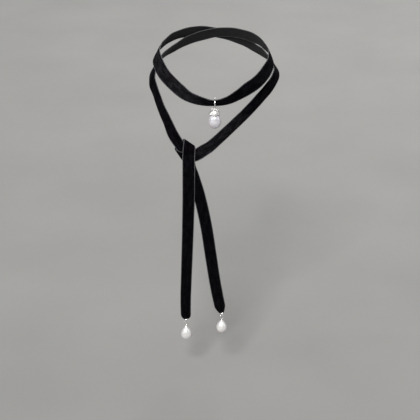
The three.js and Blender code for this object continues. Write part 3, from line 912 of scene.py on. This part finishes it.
def tail_cup(name, top, drop, material):
    """A thin spun cup over the top of a drop, standing off it a little and closest at its rim."""
    angle = bearings(CUP_SIDES)
    rim = CUP_RIM + CUP_WAVE * np.sin(9 * angle)
    rings = []
    for side in (0, 1):
        for v in np.linspace(side, 1 - side, CUP_STEPS):
            t = CUP_START + v * (rim - CUP_START)
            way = unit(drop_point(drop, t + NUDGE) - drop_point(drop, t - NUDGE))
            square = np.stack([-way[:, 1], way[:, 0]], axis=-1)
            offset = 0.12 + 0.16 * (1 - v) + side * CUP_THICKNESS * (1 - 0.55 * v**6)
            rings.append(turned(drop_point(drop, t) + square * offset, angle))
    return closed_shell(name, rings, top, material)


silver = polished_silver("polished_silver", (0.96, 0.95, 0.93, 1), 0.08)
cap_silver = polished_silver("petal_silver", (0.97, 0.96, 0.94, 1), 0.4)
white_nacre = nacre(
    "white_nacre", (0.87, 0.86, 0.84, 1), (0.7, 0.69, 0.68, 1), (0.91, 0.85, 0.81, 1), 0.26
)
cool_nacre = nacre(
    "cool_nacre", (0.82, 0.8, 0.83, 1), (0.62, 0.61, 0.65, 1), (0.88, 0.82, 0.83, 1), 0.28
)

PETALS = 5
PETAL_SIDES, PETAL_STEPS = 300, 44

# The cap's section: a well that the eye stands in, a crown round it, and a skirt of petals
PETAL_SECTION = [
    [1.4, -0.2], [2.2, -0.1], [2.6, 0.6], [3.1, 1.15], [3.8, 0.8], [4.5, -0.5], [4.9, -2.1], [5.1, -3.8],
]
PETAL_NOTCH = 0.2  # how far the gap between two petals cuts in, as a share of the section's length
PETAL_HALF_THICKNESS = 0.2
LIFTED_PETAL = 1.1 * math.pi  # bearing of the one petal that stands out, anticlockwise from +X


def petal_cap(name, top, material):
    """A thin cast cap of round petals, each hollowed, veined and beaded along its rim."""
    angle = bearings(PETAL_SIDES)
    turn = PETALS * (angle + math.pi / 2) / 2
    lobe = np.abs(np.cos(turn))
    place = (turn / math.pi + 0.5) % 1 - 0.5  # across one petal, from -0.5 to 0.5
    length = 1 - PETAL_NOTCH * (1 - lobe**0.7)
    groove = np.exp(-(((0.5 - np.abs(place)) / 0.05) ** 2))
    vein = np.exp(-((place / 0.03) ** 2)) + 0.6 * np.exp(-(((np.abs(place) - 0.17) / 0.025) ** 2))
    lifted = np.maximum(0, np.cos(angle - LIFTED_PETAL)) ** 6 * lobe**0.5
    fine = np.linspace(0, len(PETAL_SECTION) - 1, 400)
    run = run_along(curve_through(PETAL_SECTION, fine, centripetal=False))
    rings = []
    for side in (0, 1):
        for v in np.linspace(side, 1 - side, PETAL_STEPS):
            at = np.interp(v * length * run[-1], run, fine)
            way = direction_of(PETAL_SECTION, at, centripetal=False)
            square = np.stack([-way[:, 1], way[:, 0]], axis=1)
            skirt = float(smooth(v, 0.45, 0.8))
            relief = skirt * (0.42 * (lobe - 0.6) - 0.16 * groove) + 0.07 * bell(v, 0.965, 0.03)
            relief += 0.07 * vein * bell(v, 0.75, 0.16)
            thick = PETAL_HALF_THICKNESS * (1 - 0.45 * v**8)
            offset = relief + (thick if side else -thick)
            point = curve_through(PETAL_SECTION, at, centripetal=False) + square * offset[:, None]
            point += np.array([1.1, 1.5]) * (lifted * v**5)[:, None]
            rings.append(turned(point, angle))
    return closed_shell(name, rings, top, material)


# ---- The three pendants --------------------------------------------------------------------------


def pendant(name, node_prefix, ring_size, cut_at, shoulder, drop, lumps, material):
    """A ring with an eye wire and a pearl in it: the ring, the two pieces that hang, and the pearl's top."""
    ring = jump_ring(name + "_ring_wire", node_prefix + "_jump_ring", *ring_size, cut_at, silver)
    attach(ring, name + "_ring")
    wire, eye = eye_peg(name + "_eye_wire", node_prefix + "_eye_peg", silver)
    top = eye - np.array([0, 0, EYE_RADIUS + EYE_TUBE + shoulder])
    body = pearl(name + "_drop", node_prefix + "_pearl", drop, top, lumps, material)
    for piece in (wire, body):
        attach(piece, name + "_drop")
    return ring, [wire, body], top


def tail_pendant(name, cut_at, drop, lumps):
    """A tail's pendant, with a small cup on its pearl: the ring, and the pieces that hang in it."""
    ring, hanging, top = pendant(
        name, name + "_tail", TAIL_RING, cut_at, CUP_SHOULDER, drop, lumps, white_nacre
    )
    cup = tail_cup(name + "_cup", top, drop, silver)
    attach(cup, name + "_drop")
    return ring, [*hanging, cup]


# Radius of a ring and of its wire
CENTRE_RING = (5.2, 0.55)
TAIL_RING = (2.85, 0.45)

centre_ring, _, centre_top = pendant(
    "centre", "centre", CENTRE_RING, 2.4, PETAL_SHOULDER, CENTRE_PEARL, 1.0, cool_nacre
)
front_ring, front_pieces = tail_pendant("front", 0.5, FRONT_PEARL, 0.5)
right_ring, right_pieces = tail_pendant("right", 2.6, RIGHT_PEARL, 0.6)

petals = petal_cap("centre_petals", centre_top, cap_silver)
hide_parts("centre_petal_cap")
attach(petals, "centre_drop")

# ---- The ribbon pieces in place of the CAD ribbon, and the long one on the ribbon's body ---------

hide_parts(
    "ribbon_left_strand", "ribbon_left_wrap", "ribbon_front_band", "ribbon_right_wrap",
    "ribbon_right_strand", "ribbon_knot_wrap",
)
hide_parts("ribbon_knot_top", "front_tail")
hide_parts("right_tail")
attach(root_ribbon, "ribbon")
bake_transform(front_tail)
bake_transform(right_tail)

# ---- Floor and light -----------------------------------------------------------------------------

FLOOR_LEVEL, FLOOR_HALF = -315, 6000  # in millimetres
CENTRE_OF_LIGHT = Vector((0, -0.05, -0.12))


def floor():
    """A plain pale floor below the pearls."""
    s = Shader("pale_floor", Roughness=0.85)
    grain = s.noise(s.node("TexCoord").outputs["Object"], 6, 4)
    mottle = s.spread(grain, 0.3, 0.7, 0.0, 1.0)
    s.to("Base Color", s.blend(mottle, (0.27, 0.267, 0.26, 1), (0.295, 0.291, 0.283, 1)))
    sides = ((-1, -1), (1, -1), (1, 1), (-1, 1))
    corners = [(x * FLOOR_HALF, y * FLOOR_HALF, FLOOR_LEVEL) for x, y in sides]
    piece = new_piece("floor", corners, [(0, 1, 2, 3)], s.material, smooth_faces=False)


def lamp(name, kind, place, strength, colour):
    """A lamp that looks at the ribbon's middle. Returns its settings."""
    data = bpy.data.lights.new(name, kind)
    data.energy, data.color = strength, colour
    holder = in_scene(bpy.data.objects.new(name, data))
    holder.location = place
    holder.rotation_euler = (CENTRE_OF_LIGHT - Vector(place)).to_track_quat("-Z", "Y").to_euler()
    return data


def soft_light(name, place, size, power, colour):
    """A round soft box."""
    data = lamp(name, "AREA", place, power, colour)
    data.shape, data.size = "DISK", size


floor()
# The key is a sun as wide as a soft box, so that it lights the far floor as evenly as the ribbon
lamp("key", "SUN", (-0.3, -1.2, 1.05), 3.2, (1.0, 0.99, 0.975)).angle = math.radians(20)
soft_light("left", (-1.3, -0.75, 0.35), 0.7, 3.5, (1.0, 0.99, 0.97))
soft_light("right", (1.3, -0.6, 0.45), 0.7, 2.5, (0.97, 0.98, 1.0))
soft_light("back", (0.4, 1.4, 1.0), 0.9, 12, (1.0, 1.0, 1.0))
world = bpy.data.worlds.new("studio")
bpy.context.scene.world = world
world.use_nodes = True
backdrop = world.node_tree.nodes["Background"]
backdrop.inputs["Color"].default_value = (0.9, 0.91, 0.93, 1)
backdrop.inputs["Strength"].default_value = 0.25
